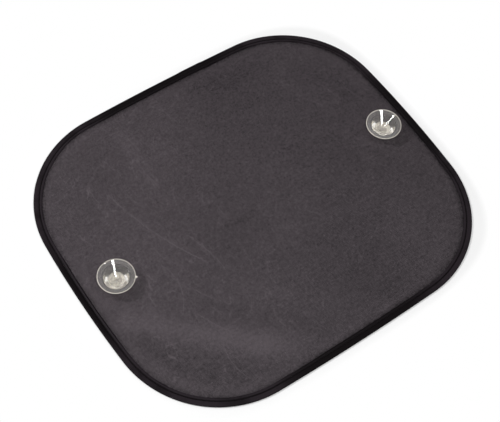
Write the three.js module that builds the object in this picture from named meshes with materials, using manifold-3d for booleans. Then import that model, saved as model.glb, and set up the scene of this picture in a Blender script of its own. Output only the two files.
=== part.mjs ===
// Car side window sunshade: a spring wire hoop in a sewn tape binding, a mesh cloth
// stretched inside it, and two clear suction cups buttoned through the cloth.
// Lengths are in millimetres and angles in degrees. +X runs along the longer side, +Z is
// up from the table, and the origin is on the table under the middle of the shade.

import * as THREE from 'three';
import { LoftGeometry } from 'three/addons/geometries/LoftGeometry.js';
import { mergeVertices } from 'three/addons/utils/BufferGeometryUtils.js';
import Module from 'manifold-3d';

const wasm = await Module();
wasm.setup();

// Outline of the shade, over its binding
const shadeLength = 440;
const shadeWidth = 385;
const cornerRadius = 120;
const shortSideTurn = 3.35; // half the angle that a bowed short side turns through
const longSideTurn = 1.7;

// Places on the edge are distances counter-clockwise from the middle of the +X side
const cornerStep = 16.5;
const sideStep = 34;

// Spring wire hoop and the sleeve crimped over its two ends
const wireRadius = 0.75;
const wireEndGap = 0.6;
const wireSides = 6;
const sleeveLength = 24;
const sleeveWall = 0.35;
const sleeveClearance = 0.15;
const sleevePlace = 318;
const sleeveSides = 8;

// Tape binding, folded over the hoop, with its end lapped over its start
const tapeThickness = 0.45;
const tapeReach = 9.5; // from the outer edge to the tape's inner edge
const tapeClearance = 0.3; // between the tape and what it wraps
const swellRun = 6; // length over which the tape swells to pass the sleeve
const lapLength = 16;
const lapPlace = 566;
const lapStep = 1.2;

// Seam through tape, cloth and tape
const threadRadius = 0.18;
const threadClearance = 0.1;
const threadSides = 4;
const seamInset = 3.5; // from the tape's inner edge
const seamHeight = 0.1; // air under the seam, above the table

// Mesh cloth
const clothThickness = 0.4;
const clothTuck = 5; // how far the cloth runs in under the tape
const clothEase = 24; // width in which the cloth settles level before the tape
const clothStep = 18;
const clothFineStep = 6;
const cornerFoldHeight = 1.1;
const cornerFoldPitch = 66;
const cornerFoldTurn = 227; // direction from the middle towards the folded corner
const cornerFoldPlace = 162; // first crest, out from the middle
const cornerFoldLength = 75;
const cornerFoldShift = 38; // middle of the folds, back along the corner
const cornerFoldWidth = 60;
const waveHeight = 0.35;
const waveLength = 190;
const waveBreadth = 260;

// Suction cups: dish, boss, neck and button head in one moulding
const cupInset = 43; // from the shade's outer edge to the cup's axis
const cupRadius = 20;
const cupTop = 19; // rim above the table
const cupFacets = 28;
const rimWidth = 1;
const rimHeight = 0.9;
const dishDepth = 9.5;
const dishPower = 1.15; // 1 is a plain cone, and more rounds its middle
const dishSteps = 6;
const lipWidth = 4.4; // thin lip of the dish, inside the rim
const lipStep = 0.5; // how far the thicker middle lies below the lip
const dimpleRadius = 2;
const dimpleDepth = 0.6;
const wallAtBoss = 2.3;
const wallAtRim = 1.2;
const bossRadius = 9; // where the boss meets the dish
const bossFootRadius = 7.5;
const bossEdge = 1;
const neckRadius = 3;
const neckGap = 1.2; // height of the groove that holds the cloth
const headRadius = 5;
const headHeight = 3.6;
const headEdge = 0.7;
const holeClearance = 0.3; // between neck and cloth
const tentReach = 36; // distance from a cup at which the raised cloth lies level again
const tentFlat = 7; // distance over which the raised cloth stays flat on the head
const nubTurn = -35; // direction of the moulding nub on the left cup's rim
const nubLength = 2.2;
const nubWidth = 2;
const nubThickness = 0.8;
const nubRoot = 0.5; // length of the nub inside the rim

const colours = {
  cloth: 0x45414a,
  tape: 0x141113,
  steel: 0xa9abad,
  aluminium: 0xc4c6c8,
  thread: 0x1c191b,
  pvc: 0xd9d6cf,
};

const { cos, sin, abs, min, max, hypot, PI } = Math;
const radians = THREE.MathUtils.degToRad;
const { clamp, smoothstep } = THREE.MathUtils;

// Derived sizes
const sleeveRadius = wireRadius + sleeveClearance + sleeveWall;
const lipGap = clothThickness / 2 + tapeClearance; // from the cloth's middle to each tape layer
const clothHeight = seamHeight + 2 * threadRadius + threadClearance + tapeThickness + lipGap;
const clothInset = tapeReach - clothTuck;
const cupPlace = shadeLength / 2 - cupInset;
const cupPlaces = [[-cupPlace, 0], [cupPlace, 0]];
const tentHeight = headHeight + neckGap / 2 - clothHeight;

// The outline's side arcs meet its corner arcs without a kink. Their radii follow from the
// overall length and width, by two equations for the place of a corner's centre.
function sideRadii() {
  const a = radians(shortSideTurn);
  const b = radians(longSideTurn);
  const along = shadeLength / 2 - cornerRadius * (cos(a) - sin(b));
  const across = shadeWidth / 2 - cornerRadius * (cos(b) - sin(a));
  const scale = sin(a) * sin(b) - (1 - cos(a)) * (1 - cos(b));
  return {
    short: (sin(b) * across - (1 - cos(b)) * along) / scale,
    long: (sin(a) * along - (1 - cos(a)) * across) / scale,
  };
}

const sides = sideRadii();
const cornerX = (sides.long - cornerRadius) * sin(radians(longSideTurn));
const cornerY = (sides.short - cornerRadius) * sin(radians(shortSideTurn));

// The outline as arcs, counter-clockwise from the middle of the +X side
function outlineArcs() {
  const bowX = shadeLength / 2 - sides.short;
  const bowY = shadeWidth / 2 - sides.long;
  const arc = (to, radius, x, y, step) => ({ to: radians(to), radius, x, y, step });
  const arcs = [
    arc(shortSideTurn, sides.short, bowX, 0, sideStep),
    arc(90 - longSideTurn, cornerRadius, cornerX, cornerY, cornerStep),
    arc(90 + longSideTurn, sides.long, 0, bowY, sideStep),
    arc(180 - shortSideTurn, cornerRadius, -cornerX, cornerY, cornerStep),
    arc(180 + shortSideTurn, sides.short, -bowX, 0, sideStep),
    arc(270 - longSideTurn, cornerRadius, -cornerX, -cornerY, cornerStep),
    arc(270 + longSideTurn, sides.long, 0, -bowY, sideStep),
    arc(360 - shortSideTurn, cornerRadius, cornerX, -cornerY, cornerStep),
    arc(360, sides.short, bowX, 0, sideStep),
  ];
  let turn = 0;
  let start = 0;
  for (const piece of arcs) {
    piece.from = turn;
    piece.start = start;
    piece.length = piece.radius * (piece.to - turn);
    turn = piece.to;
    start += piece.length;
  }
  return arcs;
}

const arcs = outlineArcs();
const edgeLength = arcs.at(-1).start + arcs.at(-1).length;

// A point at a place on the edge, moved inboard by an inset
function edgePoint(place, inset, height) {
  const around = THREE.MathUtils.euclideanModulo(place, edgeLength);
  const arc = arcs.findLast((piece) => piece.start <= around);
  const turn = arc.from + (around - arc.start) / arc.radius;
  const reach = arc.radius - inset;
  return new THREE.Vector3(arc.x + reach * cos(turn), arc.y + reach * sin(turn), height);
}

// How far a point lies inboard of the edge
function edgeInset(x, y) {
  const right = abs(x);
  const up = abs(y);
  const short = sides.short - hypot(right - shadeLength / 2 + sides.short, up);
  const long = sides.long - hypot(right, up - shadeWidth / 2 + sides.long);
  const corner = cornerRadius - hypot(right - cornerX, up - cornerY);
  return right > cornerX && up > cornerY ? corner : min(short, long);
}

// 1 within a half length of a place on the edge, falling to 0 over a run beyond it
const near = (place, middle, halfLength, run) =>
  clamp((halfLength + run - abs(place - middle)) / run, 0, 1);

const sleeveShare = (place) => near(place, sleevePlace, sleeveLength / 2, swellRun);
const lapShare = (place) => near(place, lapPlace, lapLength / 2, lapStep);

// The rolled edge of the tape: the radius of the bore round the wire, and the radius outside
function rollAt(place) {
  const bore = wireRadius + tapeClearance + sleeveShare(place) * (sleeveRadius - wireRadius);
  return { bore, outside: bore + tapeThickness * (1 + lapShare(place)) };
}

// Places shared by everything that runs round the edge, so that their flats stay parallel
function edgePlaces() {
  const places = [];
  for (const arc of arcs) {
    const count = 2 * Math.ceil(arc.length / arc.step / 2);
    for (let i = 0; i < count; i++) {
      places.push(arc.start + (arc.length * i) / count);
    }
  }
  for (const sign of [-1, 1]) {
    places.push(sleevePlace + sign * (sleeveLength / 2 + swellRun));
    places.push(sleevePlace + (sign * sleeveLength) / 2);
    places.push(sleevePlace + (sign * wireEndGap) / 2);
    places.push(lapPlace + sign * (lapLength / 2 + lapStep));
    places.push(lapPlace + (sign * lapLength) / 2);
  }
  return places.sort((a, b) => a - b);
}

const places = edgePlaces();

// A closed section, as pairs of inset and height, carried right round the edge
function edgeRing(sectionAt) {
  const sections = places.map((place) => edgeSection(place, sectionAt(place)));
  return new LoftGeometry([...sections, sections[0]]);
}

function edgeSection(place, pairs) {
  return pairs.map(([inset, height]) => edgePoint(place, inset, height));
}

// A regular polygon whose flats touch a circle, with one flat level at the bottom
function polygon(sideCount, radius, inset, height) {
  const half = PI / sideCount;
  const reach = radius / cos(half);
  return Array.from({ length: sideCount }, (_, i) => {
    const turn = -PI / 2 + half * (2 * i + 1);
    return [inset + reach * cos(turn), height + reach * sin(turn)];
  });
}

// Merged corners and no empty faces, as a solid that can be cut and joined
function toSolid(geometry) {
  const bare = geometry.clone();
  bare.deleteAttribute('normal');
  bare.deleteAttribute('uv');
  const merged = mergeVertices(bare, 1e-5);
  const index = Array.from(merged.index.array);
  const corners = [];
  for (let i = 0; i < index.length; i += 3) {
    const [a, b, c] = index.slice(i, i + 3);
    if (a !== b && b !== c && c !== a) {
      corners.push(a, b, c);
    }
  }
  return new wasm.Manifold(new wasm.Mesh({
    numProp: 3,
    vertProperties: new Float32Array(merged.attributes.position.array),
    triVerts: new Uint32Array(corners),
  }));
}

function toGeometry(solid) {
  const mesh = solid.getMesh();
  const geometry = new THREE.BufferGeometry();
  geometry.setAttribute('position', new THREE.BufferAttribute(mesh.vertProperties, 3));
  geometry.setIndex(new THREE.BufferAttribute(mesh.triVerts, 1));
  geometry.computeVertexNormals();
  return geometry;
}

// Corners of a roll of eight flats from its top, over its outer side, to its bottom
function rollCorners(radius, middle) {
  const half = PI / 8;
  const reach = radius / cos(half);
  return [5, 3, 1, -1, -3, -5].map((step) =>
    [middle - reach * cos(step * half), middle + reach * sin(step * half)]);
}

// How far inboard the same roll's side lies at a height
function rollSide(radius, middle, height) {
  return middle + min(radius, Math.SQRT2 * radius - abs(height - middle));
}

// The tape's section: an upper and a lower layer that meet in a roll round the wire
function tapeSection(place) {
  const { bore, outside } = rollAt(place);
  const upperIn = clothHeight + lipGap;
  const upperOut = upperIn + tapeThickness * (1 + lapShare(place));
  const lowerIn = clothHeight - lipGap;
  const lowerOut = lowerIn - tapeThickness;
  return [
    [tapeReach, upperOut],
    [rollSide(outside, outside, upperOut), upperOut],
    ...rollCorners(outside, outside),
    [rollSide(outside, outside, lowerOut), lowerOut],
    [tapeReach, lowerOut],
    [tapeReach, lowerIn],
    [rollSide(bore, outside, lowerIn), lowerIn],
    ...rollCorners(bore, outside).reverse(),
    [rollSide(bore, outside, upperIn), upperIn],
    [tapeReach, upperIn],
  ];
}

function bindingGeometry() {
  return edgeRing(tapeSection);
}

function wireSection(place, radius, sideCount) {
  const middle = rollAt(place).outside;
  return edgeSection(place, polygon(sideCount, radius, middle, middle));
}

// The hoop runs from one side of the gap, right round the edge, to the other side
function wireGeometry() {
  const start = sleevePlace + wireEndGap / 2;
  const end = sleevePlace - wireEndGap / 2;
  const run = [...places.filter((place) => place >= start), ...places.filter((place) => place <= end)];
  const sections = run.map((place) => wireSection(place, wireRadius, wireSides));
  return new LoftGeometry(sections, { capStart: true, capEnd: true });
}

// Out along the sleeve's outside and back along its bore
function sleeveGeometry() {
  const run = places.filter((place) => abs(place - sleevePlace) <= sleeveLength / 2 + 1e-6);
  const bore = wireRadius + sleeveClearance;
  const outside = run.map((place) => wireSection(place, sleeveRadius, sleeveSides));
  const inside = run.map((place) => wireSection(place, bore, sleeveSides)).reverse();
  return new LoftGeometry([...outside, ...inside, outside[0]]);
}

// The upper thread lies on the tape and the under thread lies against it from below
function threadGeometry(side) {
  const away = lipGap + tapeThickness + threadClearance + threadRadius;
  const heightAt = (place) =>
    clothHeight + side * away + (side > 0 ? tapeThickness * lapShare(place) : 0);
  return edgeRing((place) =>
    polygon(threadSides, threadRadius, tapeReach - seamInset, heightAt(place)));
}

// Height of the cloth's middle: raised over each cup's head, folded in one corner, with
// long shallow waves elsewhere, and level where the tape holds it
function clothMiddle(x, y) {
  const cupDistance = min(...cupPlaces.map(([cupX, cupY]) => hypot(x - cupX, y - cupY)));
  const tent = 1 - smoothstep(cupDistance, tentFlat, tentReach);
  const turn = radians(cornerFoldTurn);
  const out = x * cos(turn) + y * sin(turn);
  const along = y * cos(turn) - x * sin(turn) - cornerFoldShift;
  const spread = Math.exp(-((along / cornerFoldLength) ** 2))
    * Math.exp(-(((out - cornerFoldPlace - cornerFoldPitch / 4) / cornerFoldWidth) ** 2));
  const fold = cornerFoldHeight * spread * cos((2 * PI * (out - cornerFoldPlace)) / cornerFoldPitch);
  const wave = waveHeight * sin((2 * PI * x) / waveLength) * cos((2 * PI * y) / waveBreadth);
  const free = smoothstep(edgeInset(x, y), tapeReach + 1, tapeReach + clothEase);
  return clothHeight + free * (tentHeight * tent + (1 - tent) * (fold + wave));
}

// Grid lines from the middle outwards on both sides, close together near a cup
function gridLines(half, fineFrom, fineTo) {
  const lines = [];
  let line = 0;
  while (line < half + clothFineStep) {
    lines.push(line);
    line += line >= fineFrom && line < fineTo ? clothFineStep : clothStep;
  }
  lines.push(line);
  return [...lines.slice(1).map((value) => -value).reverse(), ...lines];
}

function clothGeometry() {
  const aside = tentFlat + clothFineStep;
  const fromX = cupPlace - aside - clothStep;
  const linesX = gridLines(shadeLength / 2, fromX, cupPlace + aside);
  const linesY = gridLines(shadeWidth / 2, 0, aside);
  const countX = linesX.length - 1;
  const countY = linesY.length - 1;
  const slab = new THREE.BoxGeometry(countX, countY, clothThickness, countX, countY, 1);
  const points = slab.attributes.position;
  for (let i = 0; i < points.count; i++) {
    const x = linesX[Math.round(points.getX(i) + countX / 2)];
    const y = linesY[Math.round(points.getY(i) + countY / 2)];
    points.setXYZ(i, x, y, points.getZ(i) + clothMiddle(x, y));
  }
  const outline = places.map((place) => edgePoint(place, clothInset, 0));
  const prism = new THREE.ExtrudeGeometry(new THREE.Shape(outline), {
    depth: 2 * cupTop,
    bevelEnabled: false,
  });
  prism.translate(0, 0, -cupTop);
  let cloth = toSolid(slab).intersect(toSolid(prism));
  for (const [x, y] of cupPlaces) {
    const hole = new THREE.CylinderGeometry(
      neckRadius + holeClearance, neckRadius + holeClearance, 2 * cupTop, cupFacets);
    hole.rotateX(PI / 2);
    hole.translate(x, y, 0);
    cloth = cloth.subtract(toSolid(hole));
  }
  return toGeometry(cloth);
}

// Height of the dish's inner surface at a radius, without the step inside its lip
function dishHeight(radius) {
  const share = radius / (cupRadius - rimWidth);
  return cupTop - dishDepth * (1 - share ** dishPower);
}

// One cup about its own axis, as a turned profile: up the outside, over the rim and down
// the dish, whose middle lies a step below its lip
function cupProfile() {
  const neckTop = headHeight + neckGap;
  const rimInside = cupRadius - rimWidth;
  const lipInside = rimInside - lipWidth;
  const profile = [
    [0, 0],
    [headRadius - headEdge, 0],
    [headRadius, headEdge],
    [headRadius, headHeight - headEdge],
    [headRadius - headEdge, headHeight],
    [neckRadius, headHeight],
    [neckRadius, neckTop],
    [bossFootRadius - bossEdge, neckTop],
    [bossFootRadius, neckTop + bossEdge],
  ];
  for (let i = 0; i < dishSteps; i++) {
    const share = i / dishSteps;
    const radius = bossRadius + share * (cupRadius - bossRadius);
    const wall = wallAtBoss + share * (wallAtRim - wallAtBoss);
    profile.push([radius, dishHeight(radius) - wall]);
  }
  profile.push([cupRadius, cupTop - rimHeight], [cupRadius, cupTop], [rimInside, cupTop]);
  profile.push([rimInside - lipWidth / 2, dishHeight(rimInside - lipWidth / 2)]);
  profile.push([lipInside, dishHeight(lipInside)]);
  for (let i = 0; i < dishSteps; i++) {
    const radius = lipInside + (i / dishSteps) * (dimpleRadius - lipInside);
    profile.push([radius, dishHeight(radius) - (lipStep * radius) / lipInside]);
  }
  profile.push([dimpleRadius, dishHeight(dimpleRadius)]);
  profile.push([0, dishHeight(0) - dimpleDepth]);
  return profile.map(([radius, height]) => new THREE.Vector2(radius, height));
}

function cupSolid() {
  const turned = new THREE.LatheGeometry(cupProfile(), cupFacets);
  turned.rotateX(PI / 2);
  return toSolid(turned);
}

// The small moulding nub that stands out of a rim
function nubSolid() {
  const nub = new THREE.BoxGeometry(nubLength + nubRoot, nubWidth, nubThickness);
  const outFrom = cupRadius * cos(PI / cupFacets) - nubRoot;
  nub.translate(outFrom + (nubLength + nubRoot) / 2, 0, cupTop - rimHeight + nubThickness / 2);
  nub.rotateZ(radians(nubTurn));
  return toSolid(nub);
}

const shade = new THREE.Group();

function addPiece(name, geometry, colour, roughness, metalness = 0) {
  const material = new THREE.MeshStandardMaterial({ color: colour, roughness, metalness });
  const mesh = new THREE.Mesh(geometry, material);
  mesh.name = name;
  shade.add(mesh);
  return mesh;
}

addPiece('mesh_panel', clothGeometry(), colours.cloth, 0.9);
addPiece('edge_binding', bindingGeometry(), colours.tape, 0.45);
addPiece('spring_wire', wireGeometry(), colours.steel, 0.3, 1);
addPiece('wire_sleeve', sleeveGeometry(), colours.aluminium, 0.35, 1);
addPiece('needle_thread', threadGeometry(1), colours.thread, 0.6);
addPiece('bobbin_thread', threadGeometry(-1), colours.thread, 0.6);

const cup = cupSolid();
const leftCup = addPiece('suction_cup_left', toGeometry(cup.add(nubSolid())), colours.pvc, 0.15);
const rightCup = addPiece('suction_cup_right', toGeometry(cup), colours.pvc, 0.15);
leftCup.position.set(...cupPlaces[0], 0);
rightCup.position.set(...cupPlaces[1], 0);

export default shade;
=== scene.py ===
import math

import bpy
import numpy as np
from bpy.props import FloatProperty, FloatVectorProperty, PointerProperty
from mathutils import Matrix, Vector


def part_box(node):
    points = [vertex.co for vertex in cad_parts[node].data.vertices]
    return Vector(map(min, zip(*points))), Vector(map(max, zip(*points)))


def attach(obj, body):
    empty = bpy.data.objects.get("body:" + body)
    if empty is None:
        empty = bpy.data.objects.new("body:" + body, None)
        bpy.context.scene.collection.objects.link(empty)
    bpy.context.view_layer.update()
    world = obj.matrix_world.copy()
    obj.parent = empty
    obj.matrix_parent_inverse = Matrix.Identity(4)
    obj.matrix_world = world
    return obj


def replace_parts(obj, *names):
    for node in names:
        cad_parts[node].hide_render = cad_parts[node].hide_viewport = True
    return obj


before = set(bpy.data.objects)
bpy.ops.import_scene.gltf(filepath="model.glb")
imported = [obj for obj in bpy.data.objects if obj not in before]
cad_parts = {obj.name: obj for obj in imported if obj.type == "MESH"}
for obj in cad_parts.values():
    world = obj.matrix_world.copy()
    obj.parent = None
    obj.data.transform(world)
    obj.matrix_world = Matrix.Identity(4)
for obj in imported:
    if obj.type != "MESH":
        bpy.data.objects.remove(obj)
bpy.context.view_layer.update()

bl_info = {
    "name": "Car window sunshade",
    "version": (1, 0, 0),
    "blender": (4, 5, 0),
    "location": "View3D > Sidebar > Sunshade",
    "description": "Cloth, binding, seam and suction cups of a pop-up car side window sunshade",
    "category": "Add Mesh",
}

# Everything is in metres, and lengths are written in millimetres times MM
MM = 0.001
TAU = 2 * math.pi

# Taken from the frame
binding_low, binding_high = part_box("edge_binding")
cup_low, cup_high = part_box("suction_cup_right")
SHADE_LENGTH = binding_high[0] - binding_low[0]
SHADE_WIDTH = binding_high[1] - binding_low[1]
CUP_PLACE = (cup_low[0] + cup_high[0]) / 2
CUP_RADIUS = (cup_high[0] - cup_low[0]) / 2
CUP_TOP = cup_high[2]
CUP_CENTRES = {"left": -CUP_PLACE, "right": CUP_PLACE}

# Outline, as in the construction
CORNER_RADIUS = 120 * MM
SHORT_SIDE_TURN = math.radians(3.35)
LONG_SIDE_TURN = math.radians(1.7)

# Tape, hoop and seam
TAPE_THICKNESS = 0.45 * MM
TAPE_REACH = 9.5 * MM
TAPE_CLEARANCE = 0.3 * MM
WIRE_RADIUS = 0.75 * MM
SLEEVE_RADIUS = 1.25 * MM
SLEEVE_LENGTH = 24 * MM
SLEEVE_PLACE = 318 * MM
SWELL_RUN = 6 * MM
LAP_LENGTH = 16 * MM
LAP_PLACE = 566 * MM
LAP_STEP = 1.2 * MM
THREAD_RADIUS = 0.18 * MM
THREAD_GAP = 0.05 * MM
INNER_GROOVE_LOSS = 0.15 * MM
SEAM_INSET = 3.5 * MM
STITCH_COUNT = 358
STATIONS_PER_STITCH = 4

# Cloth
CLOTH_THICKNESS = 0.4 * MM
CLOTH_TUCK = 5 * MM
CLOTH_EASE = 24 * MM
CLOTH_HEIGHT = 1.51 * MM
CLOTH_RINGS = 100
CLOTH_SPOKES = 440
HOLE_RADIUS = 3.3 * MM
TENT_REACH = 36 * MM
TENT_FLAT = 7 * MM
WAVE_LENGTH = 190 * MM
WAVE_BREADTH = 260 * MM
FOLD_TURN = 227
FOLD_SHIFT = 38 * MM
FOLD_PLACE = 162 * MM
FOLD_PITCH = 66 * MM
FOLD_LENGTH = 75 * MM
FOLD_WIDTH = 60 * MM
DEEPEST = 1.05 * MM

# Cups
HEAD_RADIUS = 5 * MM
HEAD_HEIGHT = 3.6 * MM
HEAD_EDGE = 0.7 * MM
NECK_RADIUS = 3 * MM
NECK_GAP = 1.2 * MM
BOSS_FOOT_RADIUS = 7.5 * MM
BOSS_RADIUS = 9 * MM
BOSS_EDGE = 1 * MM
RIM_WIDTH = 1 * MM
RIM_HEIGHT = 0.9 * MM
LIP_WIDTH = 4.4 * MM
LIP_STEP = 0.12 * MM
DISH_DEPTH = 9.5 * MM
DIMPLE_RADIUS = 2 * MM
DIMPLE_DEPTH = 0.6 * MM
BOSS_TOP = 8.2 * MM
LIP_WALL = 1.4 * MM
CUP_FACETS = 128
NUB_TURN = math.radians(-35)
NUB_LENGTH = 2.2 * MM
NUB_HALF_WIDTH = 1 * MM

LIP_GAP = CLOTH_THICKNESS / 2 + TAPE_CLEARANCE
TENT_HEIGHT = HEAD_HEIGHT + NECK_GAP / 2 - CLOTH_HEIGHT
RIM_INSIDE = CUP_RADIUS - RIM_WIDTH
LIP_END = RIM_INSIDE - LIP_WIDTH

# Distances inboard of the edge between which the cloth leaves the tape's level, and between
# which the painted shade beside the tape fades to the cloth's own colour
CLOTH_FREE = (TAPE_REACH + 1 * MM, TAPE_REACH + CLOTH_EASE)
PAINTED_TAPE_SHADE = (TAPE_REACH - 1.5 * MM, TAPE_REACH + 6 * MM)

# Distances beyond a corner arc's centre between which the gathers grow
GATHERED = (-30 * MM, 25 * MM)

# Distance of each puff of the tape inboard of the seam, and its width
PUFFS = [(2 * MM, 1.3 * MM), (-2.2 * MM, 1.5 * MM)]

# Camera, from the outline's perspective in the photograph
CAMERA_HEADING = math.radians(48.222)
CAMERA_ELEVATION = math.radians(60.607)
CAMERA_ROLL = math.radians(8.134)
CAMERA_DISTANCE = 1.256
CAMERA_TARGET = Vector((-0.00893, -0.00334, 0.0))
CAMERA_LENS = 82.52
SENSOR_WIDTH = 36.0

WHITE = (1.0, 1.0, 1.0, 1.0)


def smooth_step(value, low, high):
    """0 below low, 1 above high, and 3t^2 - 2t^3 between them."""
    share = np.clip((value - low) / (high - low), 0.0, 1.0)
    return share * share * (3.0 - 2.0 * share)


def bell(value, width):
    """exp(-(value / width)^2), a bump one width wide to each side."""
    return np.exp(-((value / width) ** 2))


def nearest_turn(angle):
    """The same angle, brought within half a turn of zero."""
    return (angle + math.pi) % TAU - math.pi


# Outline


def side_radii():
    """Radii of the bowed sides, for which they meet the corner arcs without a kink."""
    a, b = SHORT_SIDE_TURN, LONG_SIDE_TURN
    along = SHADE_LENGTH / 2 - CORNER_RADIUS * (math.cos(a) - math.sin(b))
    across = SHADE_WIDTH / 2 - CORNER_RADIUS * (math.cos(b) - math.sin(a))
    scale = math.sin(a) * math.sin(b) - (1 - math.cos(a)) * (1 - math.cos(b))
    short = (math.sin(b) * across - (1 - math.cos(b)) * along) / scale
    long = (math.sin(a) * along - (1 - math.cos(a)) * across) / scale
    return short, long


SHORT_RADIUS, LONG_RADIUS = side_radii()
CORNER_X = (LONG_RADIUS - CORNER_RADIUS) * math.sin(LONG_SIDE_TURN)
CORNER_Y = (SHORT_RADIUS - CORNER_RADIUS) * math.sin(SHORT_SIDE_TURN)
BOW_X = SHADE_LENGTH / 2 - SHORT_RADIUS
BOW_Y = SHADE_WIDTH / 2 - LONG_RADIUS

# The outline's nine arcs, counter-clockwise from the middle of the +X side
QUARTER = math.pi / 2
ARC_TO = np.array([
    SHORT_SIDE_TURN, QUARTER - LONG_SIDE_TURN, QUARTER + LONG_SIDE_TURN,
    2 * QUARTER - SHORT_SIDE_TURN, 2 * QUARTER + SHORT_SIDE_TURN, 3 * QUARTER - LONG_SIDE_TURN,
    3 * QUARTER + LONG_SIDE_TURN, 4 * QUARTER - SHORT_SIDE_TURN, 4 * QUARTER,
])
ARC_FROM = np.concatenate([[0.0], ARC_TO[:-1]])
ARC_RADIUS = np.array([
    SHORT_RADIUS, CORNER_RADIUS, LONG_RADIUS, CORNER_RADIUS, SHORT_RADIUS,
    CORNER_RADIUS, LONG_RADIUS, CORNER_RADIUS, SHORT_RADIUS,
])
ARC_X = np.array([BOW_X, CORNER_X, 0, -CORNER_X, -BOW_X, -CORNER_X, 0, CORNER_X, BOW_X])
ARC_Y = np.array([0, CORNER_Y, BOW_Y, CORNER_Y, 0, -CORNER_Y, -BOW_Y, -CORNER_Y, 0])
ARC_LENGTH = ARC_RADIUS * (ARC_TO - ARC_FROM)
ARC_START = np.concatenate([[0.0], np.cumsum(ARC_LENGTH)[:-1]])
EDGE_LENGTH = float(ARC_LENGTH.sum())


def edge_points(place, inset):
    """x and y at places along the edge, moved inboard by insets: each arc's centre plus its
    radius less the inset, in the direction of the arc's normal there."""
    around = np.mod(place, EDGE_LENGTH)
    arc = np.searchsorted(ARC_START, around, side="right") - 1
    turn = ARC_FROM[arc] + (around - ARC_START[arc]) / ARC_RADIUS[arc]
    reach = ARC_RADIUS[arc] - inset
    return ARC_X[arc] + reach * np.cos(turn), ARC_Y[arc] + reach * np.sin(turn)


def edge_inset(x, y):
    """Distance inboard of the edge: the corner arc's radius less the distance from its
    centre inside a corner, and the nearer side's elsewhere."""
    right, up = np.abs(x), np.abs(y)
    short = SHORT_RADIUS - np.hypot(right - BOW_X, up)
    long = LONG_RADIUS - np.hypot(right, up - BOW_Y)
    corner = CORNER_RADIUS - np.hypot(right - CORNER_X, up - CORNER_Y)
    inside = (right > CORNER_X) & (up > CORNER_Y)
    return np.where(inside, corner, np.minimum(short, long))


def near_place(place, middle, half_length, run):
    """1 within a half length of a place on the edge, easing to 0 over a run beyond it."""
    away = np.abs(np.mod(place - middle + EDGE_LENGTH / 2, EDGE_LENGTH) - EDGE_LENGTH / 2)
    return 1.0 - smooth_step(away, half_length, half_length + run)


# Meshes


def grid_faces(rows, columns, wrap_rows=False, wrap_columns=False):
    """Quads of a grid of points stored row by row, optionally closed either way."""
    i, j = np.meshgrid(
        np.arange(rows if wrap_rows else rows - 1),
        np.arange(columns if wrap_columns else columns - 1),
        indexing="ij",
    )
    down, along = (i + 1) % rows, (j + 1) % columns
    corners = [i * columns + j, i * columns + along, down * columns + along, down * columns + j]
    return np.stack(corners, axis=-1).reshape(-1, 4)


def fan_faces(ring, pole):
    """Triangles between a closed ring of point numbers and a pole."""
    return np.stack([ring, np.roll(ring, -1), np.full_like(ring, pole)], axis=-1)


def cap_faces(rows, columns, pole):
    """Triangles that close a grid's first ring at a pole, and its last at the next point."""
    ring = np.arange(columns)
    ends = [fan_faces(ring[::-1], pole), fan_faces((rows - 1) * columns + ring, pole + 1)]
    return np.concatenate(ends)


def new_object(name, data):
    """An object in the scene, at the origin."""
    item = bpy.data.objects.new(name, data)
    bpy.context.scene.collection.objects.link(item)
    return item


def signed_volume(points, faces):
    """A sixth of the sum of a . (b x c) over the triangles of the faces: positive where they
    point outwards."""
    total = 0.0
    for part in faces:
        for corner in range(1, part.shape[1] - 1):
            a, b, c = (points[part[:, k]] for k in (0, corner, corner + 1))
            total += float(np.einsum("ij,ij->", a, np.cross(b, c))) / 6
    return total


def make_piece(name, points, faces, material, body, uv=None, uv_turn=None):
    """A smooth-shaded object at the origin from arrays of points and of face corners.

    A closed shell is turned so that its faces point outwards. uv holds one pair for each
    point, and uv_turn how much each of the two grows once round, for the faces that close
    the turn."""
    points = points.reshape(-1, 3)
    if signed_volume(points, faces) < 0:
        faces = [part[:, ::-1] for part in faces]
    mesh = bpy.data.meshes.new(name)
    mesh.from_pydata(points, [], [face for part in faces for face in part.tolist()])
    mesh.polygons.foreach_set("use_smooth", np.ones(len(mesh.polygons), dtype=bool))
    if uv is not None:
        pairs = uv.reshape(-1, 2)[faces[0]]
        late = pairs.max(axis=1, keepdims=True) - pairs > np.array(uv_turn) / 2
        layer = mesh.uv_layers.new(name="along_across")
        layer.data.foreach_set("uv", (pairs + late * np.array(uv_turn)).ravel())
    mesh.materials.append(material)
    mesh.update()
    piece = new_object(name, mesh)
    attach(piece, body)
    return piece


# Materials


class Value:
    """A number that comes out of a material's nodes. Python's operators add Math nodes."""

    def __init__(self, finish, socket):
        self.finish = finish
        self.socket = socket

    def math(self, operation, *others):
        return self.finish.math(operation, self, *others)

    def __add__(self, other):
        return self.math("ADD", other)

    __radd__ = __add__

    def __sub__(self, other):
        return self.math("SUBTRACT", other)

    def __rsub__(self, other):
        return self.finish.math("SUBTRACT", other, self)

    def __mul__(self, other):
        return self.math("MULTIPLY", other)

    __rmul__ = __mul__

    def __truediv__(self, other):
        return self.math("DIVIDE", other)

    def __rtruediv__(self, other):
        return self.finish.math("DIVIDE", other, self)

    def __pow__(self, other):
        return self.math("POWER", other)

    def __abs__(self):
        return self.math("ABSOLUTE")

    def fraction(self):
        return self.math("FRACT")

    def smooth(self, low, high):
        """0 below low and 1 above high, easing between them; the other way if low is larger."""
        settings = {"interpolation_type": "SMOOTHSTEP"}
        inputs = {"Value": self, "From Min": low, "From Max": high}
        return self.finish.add("ShaderNodeMapRange", settings, inputs, "Result")


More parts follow.
